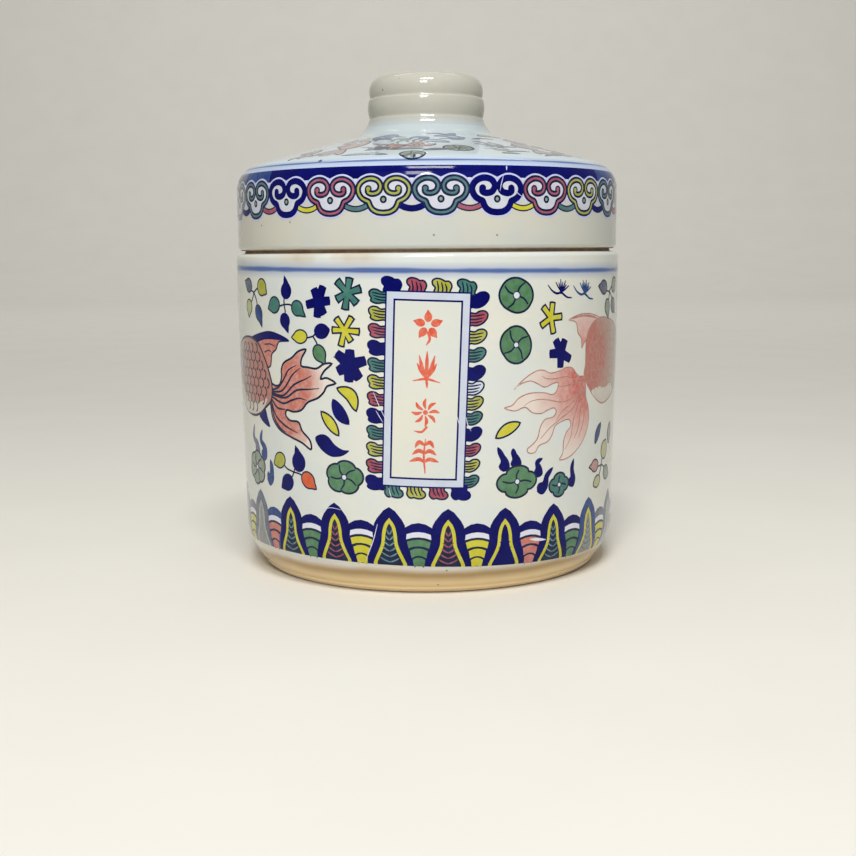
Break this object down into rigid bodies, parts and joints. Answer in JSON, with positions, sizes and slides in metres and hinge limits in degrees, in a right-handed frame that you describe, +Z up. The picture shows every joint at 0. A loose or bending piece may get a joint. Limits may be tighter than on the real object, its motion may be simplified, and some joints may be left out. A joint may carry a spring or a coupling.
{
  "type": "biscuit jar",
  "caption": "Round lidded porcelain biscuit jar with a raised neck, a deep cap lid that slips over it, and a hollow ring knob.",
  "frame": {"origin": "centre of the foot ring, on the surface that the jar stands on", "axes": "+Z up along the jar's axis; the framed panel on the wall faces -Y"},
  "size_m": [0.112, 0.112, 0.1416],
  "materials": {
    "jar_glaze": "clear glaze over a printed and painted enamel decoration; unglazed seat and foot ring",
    "lid_glaze": "clear glaze over a printed and painted enamel decoration; unglazed lower edge",
    "knob_glaze": "plain clear glaze"
  },
  "bodies": {
    "jar": {"jar_body": "jar_glaze"},
    "lid": {"lid": "lid_glaze", "lid_knob": "knob_glaze"}
  },
  "joints": [
    {"name": "lid_lift", "type": "slide", "parent": "jar", "child": "lid", "axis": [0, 0, 1], "range_m": [0, 0.06]}
  ]
}
